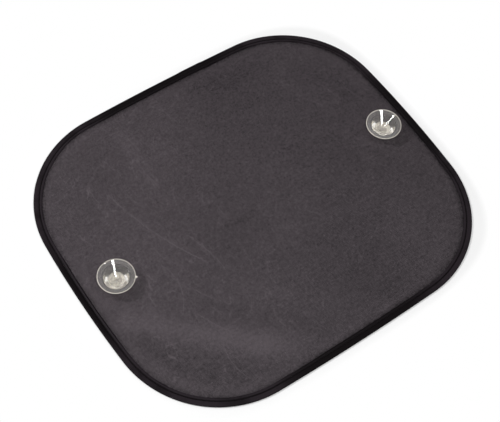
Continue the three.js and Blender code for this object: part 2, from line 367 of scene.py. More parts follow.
class Finish:
    """The nodes of one material, or of the world."""

    def __init__(self, name, kind="materials"):
        self.block = getattr(bpy.data, kind).new(name)
        self.block.use_nodes = True
        self.tree = self.block.node_tree
        self.tree.nodes.clear()

    def add(self, kind, settings=None, inputs=(), output=0):
        """Adds a node: its settings first, then its sockets' values or links, by name,
        identifier or order. Gives back one of its outputs."""
        node = self.tree.nodes.new(kind)
        for key, value in (settings or {}).items():
            setattr(node, key, value)
        pairs = inputs.items() if isinstance(inputs, dict) else enumerate(inputs)
        for key, value in pairs:
            socket = self.find(node.inputs, key)
            if isinstance(value, Value):
                self.tree.links.new(value.socket, socket)
            else:
                socket.default_value = value
        return Value(self, self.find(node.outputs, output))

    @staticmethod
    def find(sockets, key):
        if isinstance(key, int):
            return sockets[key]
        return next(socket for socket in sockets if key in (socket.identifier, socket.name))

    def math(self, operation, *values):
        return self.add("ShaderNodeMath", {"operation": operation}, values)

    def place(self):
        """Object coordinates."""
        return self.add("ShaderNodeTexCoord", output="Object")

    def uv(self):
        return self.add("ShaderNodeUVMap", {"uv_map": "along_across"})

    def attribute(self, name):
        """A number stored on the mesh's points."""
        return self.add("ShaderNodeAttribute", {"attribute_name": name}, output="Fac")

    def axes(self, vector):
        """The x, y and z of a vector."""
        split = self.add("ShaderNodeSeparateXYZ", None, [vector])
        return [Value(self, socket) for socket in split.socket.node.outputs]

    def noise(self, vector, scale, detail=2.0, roughness=0.5):
        inputs = {"Vector": vector, "Scale": scale, "Detail": detail, "Roughness": roughness}
        return self.add("ShaderNodeTexNoise", None, inputs, "Fac")

    def stretched(self, vector, scale):
        """A vector with its x, y and z multiplied."""
        return self.add("ShaderNodeVectorMath", {"operation": "MULTIPLY"}, [vector, scale])

    def mix_colour(self, factor, first, second):
        inputs = {"Factor_Float": factor, "A_Color": first, "B_Color": second}
        return self.add("ShaderNodeMix", {"data_type": "RGBA"}, inputs, "Result_Color")

    def mix_shaders(self, factor, first, second):
        return self.add("ShaderNodeMixShader", None, {"Fac": factor, 1: first, 2: second})

    def bump(self, height, distance, strength=1.0, normal=None):
        inputs = {"Height": height, "Distance": distance, "Strength": strength}
        if normal is not None:
            inputs["Normal"] = normal
        return self.add("ShaderNodeBump", None, inputs)

    def principled(self, **sockets):
        """A Principled shader; a socket's name has its spaces written as underscores."""
        inputs = {key.replace("_", " "): value for key, value in sockets.items()}
        return self.add("ShaderNodeBsdfPrincipled", None, inputs)

    def surface(self, **sockets):
        """The finished material, of one Principled shader."""
        return self.done(self.principled(**sockets))

    def done(self, shader, output="ShaderNodeOutputMaterial"):
        node = self.tree.nodes.new(output)
        self.tree.links.new(shader.socket, node.inputs["Surface"])
        return self.block


def opaque(colour):
    """A colour as the nodes' sockets take it."""
    return (*colour, 1.0)


# Sheets, tape and thread


def crease_lift(x, y, creases):
    """Sum of the creases: each is a run of short straight pieces, and lifts the cloth by its
    height times exp(-(distance / width)^2), the distance being that to its nearest piece."""
    lift = np.zeros_like(x)
    for height, width, *corners in creases:
        line = np.array(corners, dtype=float) * MM
        start, run = line[:-1, None, None], np.diff(line, axis=0)[:, None, None]
        away = np.stack([x, y], axis=-1)[None] - start
        share = np.clip((away * run).sum(-1) / (run * run).sum(-1), 0.0, 1.0)
        near = np.linalg.norm(away - share[..., None] * run, axis=-1).min(axis=0)
        lift += height * MM * bell(near, width * MM)
    return lift


# Height and width in mm, then the places that the crease or fold runs through, in mm
CREASES = [
    (0.55, 3.0, (-128, 95), (-125, 68), (-118, 45), (-110, 21), (-102, 8), (-92, -9), (-85, -32)),
    (0.45, 2.6, (-80, -5), (-73, -32), (-72, -49)),
    (0.50, 2.8, (-128, -5), (-123, -25), (-123, -45), (-135, -62), (-138, -69)),
    (0.45, 2.6, (-117, -39), (-110, -55), (-100, -72), (-92, -82)),
    (0.50, 2.8, (-125, -75), (-118, -92), (-107, -112)),
    (0.35, 2.6, (-68, -79), (-73, -99), (-78, -104)),
    (0.50, 2.8, (-123, -122), (-125, -142), (-120, -162)),
    (0.35, 2.6, (-55, -112), (-58, -125), (-53, -145)),
    (0.30, 2.6, (62, -99), (60, -114), (58, -129)),
    (0.35, 2.4, (-37, 21), (-36, 11), (-35, 1)),
    (0.35, 2.4, (-43, 45), (-42, 38), (-40, 31)),
    (0.35, 2.6, (-80, 95), (-79, 87), (-78, 78)),
    (0.35, 2.6, (132, 81), (136, 75), (140, 68)),
    (0.35, 2.6, (158, 88), (162, 74), (165, 61)),
    (0.35, 2.6, (178, 75), (183, 60), (187, 45)),
]
FOLDS = [
    (-0.5, 4.0, (-48, -10), (10, -9), (65, -9)),
    (0.7, 9.0, (-75, 158), (-79, 118), (-82, 78)),
    (1.5, 13.0, (-192, -42), (-165, -66), (-140, -90), (-85, -142)),
    (-1.5, 10.0, (-188, -72), (-172, -112), (-150, -150), (-132, -158)),
    (0.8, 7.0, (-193, -98), (-180, -130), (-158, -158)),
    (0.8, 9.0, (112, -166), (128, -160)),
    (-0.6, 14.0, (150, 120), (185, 60)),
    (-0.5, 16.0, (40, 165), (110, 150)),
]


def cloth_height(x, y, folds):
    """Middle of the cloth, and its relief alone: level at the tape, raised into a tent at
    each cup, and between them a broad low wave, a fan of folds across the lower left corner,
    single folds and creases. A hyperbolic tangent keeps the valleys off the floor."""
    cup_distance = np.minimum(np.hypot(x - CUP_PLACE, y), np.hypot(x + CUP_PLACE, y))
    tent = 1 - smooth_step(cup_distance, TENT_FLAT, TENT_REACH)
    turn = math.radians(FOLD_TURN)
    out = x * math.cos(turn) + y * math.sin(turn)
    along = y * math.cos(turn) - x * math.sin(turn) - FOLD_SHIFT
    spread = bell(along, FOLD_LENGTH) * bell(out - FOLD_PLACE - FOLD_PITCH / 4, FOLD_WIDTH)
    fan = folds.corner_height * spread * np.cos(TAU * (out - FOLD_PLACE) / FOLD_PITCH)
    wave = folds.wave_height * np.sin(TAU * x / WAVE_LENGTH) * np.cos(TAU * y / WAVE_BREADTH)
    single = folds.fold_share * crease_lift(x, y, FOLDS)
    crease = folds.crease_share * crease_lift(x, y, CREASES)
    free = smooth_step(edge_inset(x, y), *CLOTH_FREE)
    relief = free * (1 - tent) * (fan + wave + single + crease)
    relief = np.where(relief < 0, DEEPEST * np.tanh(relief / DEEPEST), relief)
    return CLOTH_HEIGHT + free * TENT_HEIGHT * tent + relief, relief


def open_round(x, y, centre, step_along, step_across):
    """Moves the grid points about a cup's centre, so that the eight round it lie on a circle:
    a point that is q grid steps away goes to q hole radii in its own direction, and eases
    back to its place over the next four steps."""
    right, up = x - centre, y
    steps = np.maximum(np.abs(right) / step_along, np.abs(up) / step_across)
    distance = np.maximum(np.hypot(right, up), 1e-9)
    stay = smooth_step(steps, 1.0, 5.0)
    scale = stay + (1 - stay) * HOLE_RADIUS * steps / distance
    return centre + right * scale, up * scale


def build_cloth(folds, finish):
    """A polar grid: each point is a share of the way from the middle of the shade to the
    edge of the cloth, one ring passing through the middles of both cups."""
    inset = TAPE_REACH - CLOTH_TUCK
    reach = SHADE_LENGTH / 2 - inset
    inner = round(CLOTH_RINGS * CUP_PLACE / reach)
    shares = np.concatenate([
        np.linspace(0, CUP_PLACE / reach, inner + 1)[1:],
        np.linspace(CUP_PLACE / reach, 1, CLOTH_RINGS - inner + 1)[1:],
    ])
    place = np.arange(CLOTH_SPOKES) * EDGE_LENGTH / CLOTH_SPOKES
    edge_x, edge_y = edge_points(place, inset)
    x, y = np.outer(shares, edge_x), np.outer(shares, edge_y)
    across = float(y[inner - 1, 1])
    for centre in CUP_CENTRES.values():
        x, y = open_round(x, y, centre, CUP_PLACE / inner, across)
    x, y = (np.append(axis, 0.0)[None] for axis in (x, y))
    z, relief = cloth_height(x, y, folds)
    points = np.stack([x, y, z], axis=-1).reshape(-1, 3)
    quads = grid_faces(CLOTH_RINGS, CLOTH_SPOKES, wrap_columns=True)[:, ::-1]
    holes = [(inner - 1) * CLOTH_SPOKES + spoke for spoke in (0, CLOTH_SPOKES // 2)]
    quads = quads[~np.isin(quads, holes).any(axis=1)]
    pole = fan_faces(np.arange(CLOTH_SPOKES), len(points) - 1)
    cloth = make_piece("mesh_cloth", points, [quads, pole], finish, "shade")
    # Painted shade beside the tape: 0 at the tape, rising to 1 further in, where the cloth has its
    # own colour
    painted_tape_shade_fade = smooth_step(edge_inset(x, y), *PAINTED_TAPE_SHADE)
    # The relief in mm is kept on the cloth as the mask for painted light on its fold tops
    for name, values in (("painted_crest_light", relief / (1 * MM)), ("painted_tape_shade_fade", painted_tape_shade_fade)):
        layer = cloth.data.attributes.new(name, "FLOAT", "POINT")
        layer.data.foreach_set("value", values.ravel().astype(np.float32))
    wall = cloth.modifiers.new("thickness", "SOLIDIFY")
    wall.thickness = CLOTH_THICKNESS
    wall.offset = 0.0
    return cloth


def tape_stations():
    """Places along the edge, a whole number of them for each stitch."""
    count = STITCH_COUNT * STATIONS_PER_STITCH
    return np.arange(count) * EDGE_LENGTH / count


def lap_share(place):
    """1 in the tape's lap, and 0 elsewhere."""
    return near_place(place, LAP_PLACE, LAP_LENGTH / 2, LAP_STEP)


def roll_radii(place):
    """Radius of the roll's bore round the wire, which swells over the sleeve, and of its
    outside, which is one layer of tape more, or two in the lap."""
    swell = near_place(place, SLEEVE_PLACE, SLEEVE_LENGTH / 2, SWELL_RUN)
    bore = WIRE_RADIUS + TAPE_CLEARANCE + swell * (SLEEVE_RADIUS - WIRE_RADIUS)
    return bore, bore + TAPE_THICKNESS * (1 + lap_share(place))


def stitch_pull(place):
    """1 at each needle hole and 0 midway between two: the fourth power of a cosine."""
    return np.cos(math.pi * STITCH_COUNT * place / EDGE_LENGTH) ** 4


def corner_share(place):
    """1 in the rounded corners and 0 along the sides."""
    x, y = edge_points(place, np.zeros_like(place))
    outside = np.minimum(np.abs(x) - CORNER_X, np.abs(y) - CORNER_Y)
    return smooth_step(outside, *GATHERED)


# Whole waves round the edge, their share of the gathers' height, and their phase
GATHERS = [(173, 0.45, 0.7), (211, 0.35, 2.9), (257, 0.30, 4.4), (97, 0.35, 1.8)]
SLOW_RIPPLES = [(11, 0.5, 0.4), (19, 0.3, 2.2), (31, 0.2, 5.1)]


def waves(place, terms):
    """A sum of sines, each with a whole number of waves round the edge."""
    turn = TAU * place / EDGE_LENGTH
    return sum(share * np.sin(count * turn + phase) for count, share, phase in terms)


def build_tape(tape, finish):
    """The tape's section is carried round the edge. Outside, each layer runs level from its
    cut edge, eases to the top or bottom of the roll, and goes round it on a circle; inside,
    it runs the same way one thickness in. The seam presses a groove into the upper layer,
    deeper at the needle holes, with a puff on each side of it, and that layer is gathered in
    the corners by waves across it. Puffs and gathers fade out at the roll."""
    place = tape_stations()[:, None]
    bore, outside = roll_radii(place)
    upper_in = CLOTH_HEIGHT + LIP_GAP
    upper_out = upper_in + TAPE_THICKNESS * (1 + lap_share(place))
    lower_in = CLOTH_HEIGHT - LIP_GAP
    lower_out = lower_in - TAPE_THICKNESS
    reach = TAPE_REACH + tape.edge_wander * waves(place, SLOW_RIPPLES)

    def layer(count, radius, level, side):
        share = np.linspace(0, 1, count)[None, :]
        inset = reach + (outside - reach) * share
        roll = smooth_step(inset, outside, outside + tape.roll_ease)
        top = outside + side * radius
        return inset, top + (level - top) * roll

    def turn(count, radius):
        angle = np.linspace(math.pi / 2, 3 * math.pi / 2, count + 2)[None, 1:-1]
        return outside + radius * np.cos(angle), outside + radius * np.sin(angle)

    def back(pair):
        return pair[0][:, ::-1], pair[1][:, ::-1]

    seam = TAPE_REACH - SEAM_INSET
    pull = stitch_pull(place)
    gathers = tape.gather_height * corner_share(place) * waves(place, GATHERS)

    def sewn(pair, depth):
        inset, height = pair
        groove = bell(inset - seam, tape.groove_width)
        puff = sum(bell(inset - seam - offset, width) for offset, width in PUFFS)
        swell = gathers + tape.puff_height * puff * (1.1 - 0.3 * pull)
        free = smooth_step(inset, outside, outside + 2.5 * MM)
        dent = depth * groove * (0.7 + 0.3 * pull)
        return inset, height + free * swell - dent

    upper = sewn(layer(20, outside, upper_out, 1), tape.groove_depth)
    lower = layer(8, outside, lower_out, -1)
    upper_inner = sewn(layer(10, bore, upper_in, 1), tape.groove_depth - INNER_GROOVE_LOSS)
    lower_inner = layer(5, bore, lower_in, -1)
    parts = [
        upper, turn(9, outside), back(lower),
        lower_inner, back(turn(5, bore)), back(upper_inner),
    ]
    inset, height = (np.concatenate(part, axis=1) for part in zip(*parts))
    x, y = edge_points(np.broadcast_to(place, inset.shape), inset)
    points = np.stack([x, y, height], axis=-1)
    rows, columns = inset.shape
    step = np.hypot(np.roll(inset, -1, 1) - inset, np.roll(height, -1, 1) - height)
    girth = float(step.sum(axis=1).mean())
    run = np.cumsum(step, axis=1) - step
    run = run * girth / step.sum(axis=1, keepdims=True)
    uv = np.stack([np.broadcast_to(place, run.shape), run], axis=-1)
    quads = grid_faces(rows, columns, wrap_rows=True, wrap_columns=True)
    return make_piece(
        "satin_binding", points, [quads], finish, "shade", uv, (EDGE_LENGTH, girth)
    )


def build_stitches(name, side, sag, finish):
    """One short bar of thread for each stitch, alike all round. Its middle line is level and
    dives at both ends by the sixth power of the distance from its middle; the section is a
    circle across that line, and narrows to a quarter at the ends."""
    sides, rings = 6, 7
    pitch = EDGE_LENGTH / STITCH_COUNT
    share = np.linspace(-1, 1, rings)
    width = THREAD_RADIUS * np.sqrt(np.clip(1.06 - share**4, 0, 1))
    drop, slope = sag * share**6, 6 * sag * share**5 / (pitch / 2)
    lean = np.hypot(1, slope)
    around = TAU * np.arange(sides) / sides
    middle = (np.arange(STITCH_COUNT)[:, None, None] + 0.5) * pitch
    rise = width[:, None] * np.sin(around)[None, :]
    place = middle + (share[:, None] * pitch / 2 + rise * (slope / lean)[:, None])[None]
    layers = 1 + lap_share(place) * (side > 0)
    level = LIP_GAP + TAPE_THICKNESS * layers + THREAD_RADIUS + THREAD_GAP
    height = CLOTH_HEIGHT + side * (level - drop[:, None] + rise / lean[:, None])
    inset = np.broadcast_to(TAPE_REACH - SEAM_INSET + width[:, None] * np.cos(around), place.shape)
    x, y = edge_points(place, inset)
    shell = np.stack([x, y, height], axis=-1).reshape(STITCH_COUNT, -1, 3)
    poles = shell.reshape(STITCH_COUNT, rings, sides, 3)[:, [0, -1]].mean(axis=2)
    points = np.concatenate([shell, poles], axis=1)
    one = rings * sides + 2
    quads = grid_faces(rings, sides, wrap_columns=True)
    caps = cap_faces(rings, sides, one - 2)
    offset = (np.arange(STITCH_COUNT) * one)[:, None, None]
    faces = [(quads[None] + offset).reshape(-1, 4), (caps[None] + offset).reshape(-1, 3)]
    return make_piece(name, points, faces, finish, "shade")


# Suction cups


def rounded_profile(corners):
    """A line through corners (r, z, fillet radius), each fillet a circle's arc that touches
    both of the straight runs beside it."""
    line = []
    for before, (r, z, fillet), after in zip([None, *corners[:-1]], corners, [*corners[1:], None]):
        if not fillet:
            line.append((r, z))
            continue
        corner = np.array([r, z])
        back, on = (np.array(other[:2]) - corner for other in (before, after))
        back, on = back / np.linalg.norm(back), on / np.linalg.norm(on)
        half = math.acos(float(np.clip(back @ on, -1, 1))) / 2
        centre = corner + (back + on) / np.linalg.norm(back + on) * fillet / math.sin(half)
        reach = fillet / math.tan(half)
        ends = [corner + back * reach - centre, corner + on * reach - centre]
        angles = [math.atan2(end[1], end[0]) for end in ends]
        sweep = nearest_turn(angles[1] - angles[0])
        for share in np.linspace(0, 1, 5):
            angle = angles[0] + sweep * share
            line.append(tuple(centre + fillet * np.array([math.cos(angle), math.sin(angle)])))
    return np.array(line)


def dish_height(r):
    """The dish rises from its middle to the rim in a straight line."""
    return CUP_TOP - DISH_DEPTH * (1 - r / RIM_INSIDE)


def spaced(line, step):
    """The same line with points added, so that no run between two is longer than a step."""
    counts = np.ceil(np.linalg.norm(np.diff(line, axis=0), axis=1) / step).astype(int)
    runs = [
        np.linspace(start, end, count, endpoint=False)
        for start, end, count in zip(line[:-1], line[1:], np.maximum(counts, 1))
    ]
    return np.concatenate([*runs, line[-1:]])


def cup_profile():
    """The cup's section from the middle of its button head, up the outside of the boss and
    the thick middle of the dish, out along its thin lip to the rim, and down inside the dish,
    over the step where the lip ends, to the dimple in its middle."""
    boss_height = HEAD_HEIGHT + NECK_GAP
    thick_end = LIP_END - 0.6 * MM
    outside = rounded_profile([
        (0.0, 0.0, 0),
        (HEAD_RADIUS, 0.0, HEAD_EDGE),
        (HEAD_RADIUS, HEAD_HEIGHT, HEAD_EDGE),
        (NECK_RADIUS, HEAD_HEIGHT, 0.3 * MM),
        (NECK_RADIUS, boss_height, 0.3 * MM),
        (BOSS_FOOT_RADIUS, boss_height, BOSS_EDGE),
        (BOSS_RADIUS, BOSS_TOP, 1.2 * MM),
        (thick_end, dish_height(thick_end) - LIP_STEP - LIP_WALL, 1.5 * MM),
        (CUP_RADIUS, CUP_TOP - RIM_HEIGHT, 0.25 * MM),
        (CUP_RADIUS, CUP_TOP, 0.35 * MM),
        (RIM_INSIDE, CUP_TOP, 0.25 * MM),
        (RIM_INSIDE - 0.5 * MM, dish_height(RIM_INSIDE - 0.5 * MM), 0),
    ])
    down = np.concatenate([
        np.linspace(RIM_INSIDE - 0.7 * MM, LIP_END + 0.1 * MM, 6),
        LIP_END - np.linspace(0, 0.5, 6) * MM,
        np.linspace(LIP_END - 0.7 * MM, DIMPLE_RADIUS * 1.4, 16),
        np.linspace(1.2, 0.15, 8) * DIMPLE_RADIUS,
    ])
    step = LIP_STEP * smooth_step(LIP_END - down, 0, 0.5 * MM)
    dimple = DIMPLE_DEPTH * (1 - smooth_step(down, 0.2 * DIMPLE_RADIUS, 1.2 * DIMPLE_RADIUS))
    inside = np.stack([down, dish_height(down) - step - dimple], axis=-1)
    middle_height = dish_height(0.0) - LIP_STEP - DIMPLE_DEPTH
    return np.concatenate([spaced(outside[1:], 0.8 * MM), inside]), middle_height


def build_cup(side, with_nub, finish):
    """The section is turned about the cup's axis. The left cup's rim carries a small round
    tongue to lift it by: there the outermost points move out by the height of a half oval
    over the tongue's width."""
    profile, middle_height = cup_profile()
    turns = TAU * np.arange(CUP_FACETS) / CUP_FACETS
    if with_nub:
        fine = NUB_TURN % TAU + np.linspace(-1, 1, 13) * 1.25 * NUB_HALF_WIDTH / CUP_RADIUS
        apart = np.abs(nearest_turn(turns[:, None] - fine[None, [0, -1]]))
        clear = np.abs(nearest_turn(turns - NUB_TURN)) > 1.4 * NUB_HALF_WIDTH / CUP_RADIUS
        turns = np.sort(np.concatenate([turns[clear & (apart.min(axis=1) > 0.01)], fine]))
    radius, height = profile[:, :1], profile[:, 1:]
    away = nearest_turn(turns - NUB_TURN) * CUP_RADIUS / NUB_HALF_WIDTH
    tongue = NUB_LENGTH * np.sqrt(np.clip(1 - away**2, 0, 1)) * with_nub
    outermost = smooth_step(radius, CUP_RADIUS - 0.5 * MM, CUP_RADIUS - 0.2 * MM)
    reach = radius + tongue[None, :] * outermost
    x = CUP_CENTRES[side] + reach * np.cos(turns)
    y = reach * np.sin(turns)
    z = np.broadcast_to(height, x.shape)
    rows, columns = x.shape
    points = np.stack([x, y, z], axis=-1).reshape(-1, 3)
    poles = np.array([[CUP_CENTRES[side], 0.0, 0.0], [CUP_CENTRES[side], 0.0, middle_height]])
    quads = grid_faces(rows, columns, wrap_columns=True)
    caps = cap_faces(rows, columns, len(points))
    return make_piece(
        f"clear_cup_{side}", np.concatenate([points, poles]), [quads, caps], finish,
        f"{side}_cup",
    )


# Finishes


def crease_marks(x, y):
    """Thin lighter lines along the creases, partly whitened yarn and partly a painted highlight on
    their ridges: each is a crease's height in mm on the parabola through its places, falls to 0
    over a third of its width, and fades out at its ends."""
    marks = 0.0
    for height, width, *corners in CREASES:
        line = np.array(corners) * MM
        bend, slope, offset = np.polyfit(line[:, 1], line[:, 0], 2)
        low, high = line[:, 1].min(), line[:, 1].max()
        away = abs(x - ((y * bend + slope) * y + offset))
        middle = abs(y - (low + high) / 2)
        reach = (high - low) / 2
        thin = away.smooth(0.34 * width * MM, 0.0)
        marks = thin * middle.smooth(reach + 4 * MM, reach - 6 * MM) * height + marks
    return marks


def cloth_finish(cloth):
    """Fine mesh of black polyester yarn: rows of small round holes, each row set off by half a
    pitch, thick and thin places in the yarns of both ways, faint bands where the yarn's tension
    changed, and thin creases. Painted light makes it lighter on the crests of its folds and
    towards its left side, its crease lines are lighter, partly from whitened yarn and partly from
    a painted highlight, and painted shade makes it darker beside the tape."""
    finish = Finish("Black mesh cloth")
    place = finish.place()
    x, y, _ = finish.axes(place)
    u, v = x / cloth.pitch_along, y / cloth.pitch_across
    row = v.math("FLOOR")
    left = (u + row * 0.5).fraction() - 0.5
    up = v.fraction() - 0.5
    away = ((left * cloth.pitch_along) ** 2 + (up * cloth.pitch_across) ** 2) ** 0.5
    hole = away.smooth(cloth.hole_radius * 1.35, cloth.hole_radius * 0.75)
    bands = finish.noise(finish.stretched(place, (0.1, 1.0, 1.0)), 420.0, 1.0)
    slubs = [
        finish.noise(finish.stretched(place, scale), 640.0, 1.0)
        for scale in ((0.35, 1.0, 1.0), (1.0, 0.35, 1.0))
    ]
    grain = finish.noise(place, 400.0, 2.0, 0.7) * 0.4 + (slubs[0] + slubs[1]) * 0.3
    clouds = finish.noise(place, 60.0, 3.0, 0.6)
    broad = finish.noise(place, 11.0)
    # Painted light: 1 at the cloth's left, nearer the main lamp, and 0 at its right; it lightens
    # the cloth there and strengthens the crease lines
    side = x.smooth(90 * MM, -150 * MM)
    # Thin lighter crease lines: partly whitened yarn, partly a painted highlight on their ridges
    crumple = finish.noise(finish.stretched(place, (1.0, 0.5, 1.0)), 42.0)
    lines = abs(crumple - 0.5).smooth(0.016, 0.0) * clouds.smooth(0.42, 0.6) * (0.25 + 0.75 * side)
    creases = crease_marks(x, y)
    # Painted light: the cloth is lighter on the tops of its folds
    painted_crest_light = finish.attribute("painted_crest_light")
    # Painted shade: the cloth is darker beside the tape
    painted_tape_shade_fade = finish.attribute("painted_tape_shade_fade")
    # The yarn's own tone, mixed with painted light on the left and on fold tops, partly painted
    # highlights on the creases, and painted shade beside the tape
    light = (
        0.22 * bands + 1.8 * grain + 0.2 * clouds + 0.16 * broad + 0.14 * side
        + 0.16 * painted_crest_light + 0.34 * lines + 0.7 * creases - 0.72 - 0.42 * (1 - painted_tape_shade_fade)
    )
    plain = finish.mix_colour(light, opaque(cloth.shade_colour), opaque(cloth.colour))
    yarn = (u * TAU).math("SINE") * 0.5 + (v * TAU).math("SINE") * 0.5
    weave = finish.bump(yarn - hole + grain * 2, 0.12 * MM, 0.5)
    folded = finish.bump(lines * 0.5 + creases, cloth.wrinkle_height, 0.8, weave)
    return finish.surface(
        Base_Color=plain, Roughness=0.8, Normal=folded, Alpha=1 - hole * cloth.open_share,
        Specular_IOR_Level=0.12,
    )


def tape_finish(tape):
    """Black satin tape: fine ribs and uneven filament threads across it, with a low sheen. Painted
    shade keeps it darkest in the seam's groove, painted sheen makes it greyer where it is gathered
    in the corners, and a painted highlight runs along its lip, strongest on the left short side."""
    finish = Finish("Black satin tape")
    uv, place = finish.uv(), finish.place()
    along, across, _ = finish.axes(uv)
    x, y, _ = finish.axes(place)
    ribs = (along * (TAU / tape.rib_pitch)).math("SINE")
    threads = finish.noise(finish.stretched(uv, (1.0, 0.05, 1.0)), 2600.0, 2.0, 0.6)
    corner_mottle = finish.noise(place, 30.0, 3.0, 0.6)
    gathered = finish.noise(finish.stretched(uv, (1.0, 0.12, 1.0)), 160.0, 2.0, 0.6)
    bump = finish.bump(ribs * 0.4 + threads + gathered * 3, 0.08 * MM, 0.6)
    beyond_x, beyond_y = (
        abs(axis).smooth(centre - 35 * MM, centre + 20 * MM)
        for axis, centre in ((x, CORNER_X), (y, CORNER_Y))
    )
    corner = beyond_x * beyond_y
    # Painted shade: the seam's groove gets none of the lightening and keeps the tape's darkest
    # colour
    groove = abs(across - SEAM_INSET).smooth(1.1 * MM, 0.3 * MM)
    # Painted highlight along the tape's lip, strongest on the left short side, which faces the
    # main lamp
    lip = abs(across - 1.7 * MM).smooth(0.9 * MM, 0.3 * MM)
    lit_left_side = x.smooth(-150 * MM, -195 * MM)
    # Painted sheen: the gathered tape in the corners is lighter, mottled
    painted_corner_sheen = corner * (0.35 + 0.65 * corner_mottle.smooth(0.3, 0.6))
    painted_lip_highlight = lip * (0.15 + 1.6 * lit_left_side * (1 - 0.6 * corner))
    painted_sheen_and_highlight = (painted_corner_sheen + painted_lip_highlight) * (1 - groove)
    # The tape's colour, lifted towards the lighter colour by the painted sheen and highlight
    colour = finish.mix_colour(painted_sheen_and_highlight, opaque(tape.colour), opaque(tape.painted_sheen_colour))
    return finish.surface(
        Base_Color=colour, Roughness=0.4 + 0.2 * corner, Normal=bump, Specular_IOR_Level=0.045,
    )


def thread_finish():
    """Black spun polyester sewing thread."""
    finish = Finish("Black sewing thread")
    fuzz = finish.noise(finish.place(), 3000.0, 1.0)
    colour = finish.mix_colour(fuzz, (0.003, 0.002, 0.003, 1.0), (0.009, 0.007, 0.008, 1.0))
    return finish.surface(Base_Color=colour, Roughness=0.7, Specular_IOR_Level=0.08)


def cup_finish(cups):
    """Clear soft PVC, with a fine haze on its surface and painted shade as a dark line where the
    lip ends. The thick boss, neck and button head in its middle are milky and cloudy, and clearer
    in the dimple. The rubbed rim is milky too, and the rest a little."""
    finish = Finish("Clear soft PVC")
    place = finish.place()
    x, y, z = finish.axes(place)
    out = ((abs(x) - CUP_PLACE) ** 2 + y ** 2) ** 0.5
    haze = finish.noise(place, 160.0, 3.0, 0.6)
    deep = (dish_height(out) - z).smooth(1.0 * MM, 1.8 * MM)
    boss = deep * out.smooth(BOSS_RADIUS + 1 * MM, BOSS_RADIUS + 0.3 * MM)
    # Painted shade: a dark line along the step where the lip ends
    ring = abs(out - LIP_END).smooth(0.7 * MM, 0.2 * MM)
    tint_with_painted_step_shade = finish.mix_colour(0.6 * ring, opaque(cups.colour), (0.2, 0.17, 0.19, 1.0))
    clear = finish.principled(
        Base_Color=tint_with_painted_step_shade, Roughness=cups.roughness + 0.02 * haze,
        Transmission_Weight=1.0, IOR=1.53, Specular_IOR_Level=0.2,
    )
    milk = finish.principled(Base_Color=opaque(cups.milk_colour), Roughness=0.25, IOR=1.45)
    rim = out.smooth(CUP_RADIUS - 0.8 * MM, CUP_RADIUS - 0.2 * MM)
    cloudy = finish.noise(place, 420.0, 2.0, 0.6).smooth(0.35, 0.65)
    dimple = out.smooth(DIMPLE_RADIUS * 1.1, DIMPLE_RADIUS * 0.6)
    boss = boss * (0.55 + 0.6 * cloudy) * (1 - 0.6 * dimple)
    share = cups.milk_share + (cups.boss_milk_share - cups.milk_share) * boss
    share = share + cups.rim_milk_share * rim
    return finish.done(finish.mix_shaders(share, clear, milk))


def steel_finish():
    """Blued spring steel wire, with drawing marks."""
    finish = Finish("Spring steel wire")
    marks = finish.noise(finish.place(), 700.0, 2.0, 0.6)
    colour = finish.mix_colour(marks, (0.24, 0.24, 0.26, 1.0), (0.42, 0.42, 0.43, 1.0))
    return finish.surface(
        Base_Color=colour, Metallic=1.0, Roughness=0.25 + 0.2 * marks,
    )


def sleeve_finish():
    """Soft aluminium tube with the marks of the crimping pliers."""
    finish = Finish("Crimped aluminium")
    dents = finish.noise(finish.place(), 300.0)
    bump = finish.bump(dents, 0.1 * MM, 0.6)
    return finish.surface(
        Base_Color=(0.72, 0.72, 0.73, 1.0), Metallic=1.0, Roughness=0.35 + 0.15 * dents,
        Normal=bump,
    )


def dress_node(name, material):
    """Gives a node of the construction its finish."""
    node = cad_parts[name]
    node.data.materials.clear()
    node.data.materials.append(material)


# Sizes and colours that can be changed in the sidebar


def a_length(name, description, default, **limits):
    """A length, with its default and its limits in millimetres."""
    limits = {key: value * MM for key, value in limits.items()}
    return FloatProperty(
        name=name, description=description, default=default * MM, subtype="DISTANCE", **limits)


def a_share(name, description, default, high=1.0):
    return FloatProperty(
        name=name, description=description, default=default, min=0.0, max=high,
        subtype="FACTOR")


def a_colour(name, description, default):
    return FloatVectorProperty(
        name=name, description=description, default=default, size=3, min=0.0, max=1.0,
        subtype="COLOR")


class ClothSettings(bpy.types.PropertyGroup):
    """Mesh cloth."""

    wave_height: a_length(
        "Wave height", "Half height of the cloth's broad waves", 0.35, min=0, max=1)
    corner_height: a_length(
        "Corner fold height", "Height of the folds across the lower left corner", 1.1,
        min=0, max=3)
    fold_share: a_share("Folds", "Height of the single broad folds, 0 for none", 1.0, 2.0)
    crease_share: a_share("Creases", "Height of the packing creases, 0 for none", 1.0, 2.0)
    wrinkle_height: a_length("Wrinkle height", "Height of the fine wrinkles", 0.6, min=0, max=1)
    pitch_along: a_length("Hole pitch along", "Distance between holes along a row", 1.1, min=0.3)
    pitch_across: a_length("Hole pitch across", "Distance between rows of holes", 0.95, min=0.3)
    hole_radius: a_length("Hole radius", "Radius of a hole in the mesh", 0.28, min=0.05)
    open_share: a_share("Hole openness", "How much light a hole lets through", 0.5)
    # The cloth's colour runs between these two by the yarn's own tone and also by painted light
    # and shade
    colour: a_colour(
        "Yarn colour", "Colour of the yarn where it is lightest", (0.090, 0.075, 0.084))
    shade_colour: a_colour(
        "Yarn dark colour", "Colour of the yarn where it is darkest", (0.010, 0.007, 0.009))


